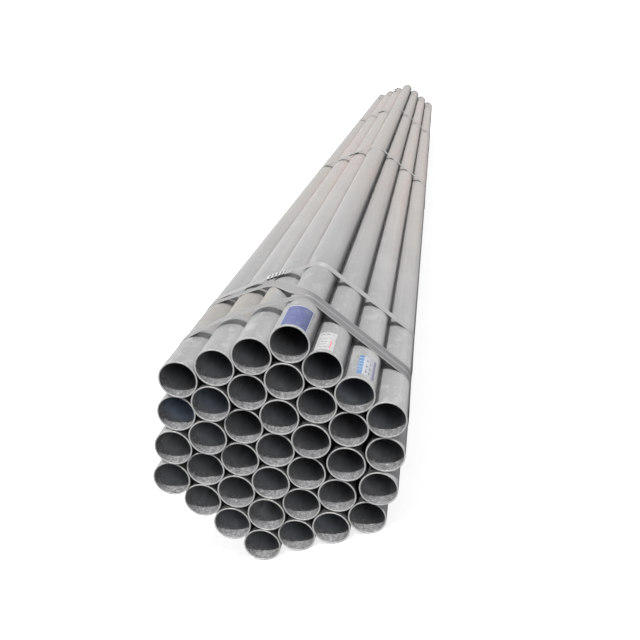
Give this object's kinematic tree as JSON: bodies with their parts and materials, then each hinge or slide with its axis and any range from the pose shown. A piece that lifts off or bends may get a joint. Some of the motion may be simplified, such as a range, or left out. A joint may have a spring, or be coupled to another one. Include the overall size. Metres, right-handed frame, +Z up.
{
  "type": "bundle of steel tubes",
  "caption": "Six-sided bundle of round galvanised steel tubes, held together by crimped steel straps, with paper labels near one end.",
  "frame": {"origin": "on the floor under the middle of the bundle", "axes": "+Y along the tubes, from the labelled end to the far end; +Z up; +X to the right when looking along +Y"},
  "size_m": [0.6265, 6.0076, 0.5668],
  "materials": {
    "galvanised_tube": "matt hot-dip galvanised zinc, lightly streaked along the tube",
    "strap_steel": "plain cold-rolled strapping",
    "seal_steel": "crimped, darker than the strap",
    "violet_paper": "matt paper label, blank",
    "grey_paper": "matt paper label, blank",
    "white_paper": "matt paper label, blank"
  },
  "bodies": {
    "root": {"tube_row_1": "galvanised_tube", "tube_row_2": "galvanised_tube", "tube_row_3": "galvanised_tube", "tube_row_4": "galvanised_tube", "tube_row_5": "galvanised_tube", "tube_row_6": "galvanised_tube", "tube_row_7": "galvanised_tube", "strap_1": "strap_steel", "strap_2": "strap_steel", "strap_3": "strap_steel", "strap_4": "strap_steel", "strap_5": "strap_steel", "strap_6": "strap_steel", "strap_7": "strap_steel", "seal_1": "seal_steel", "seal_2": "seal_steel", "seal_3": "seal_steel", "seal_4": "seal_steel", "seal_5": "seal_steel", "seal_6": "seal_steel", "seal_7": "seal_steel", "label_1": "violet_paper", "label_2": "grey_paper", "label_3": "white_paper"}
  },
  "joints": []
}
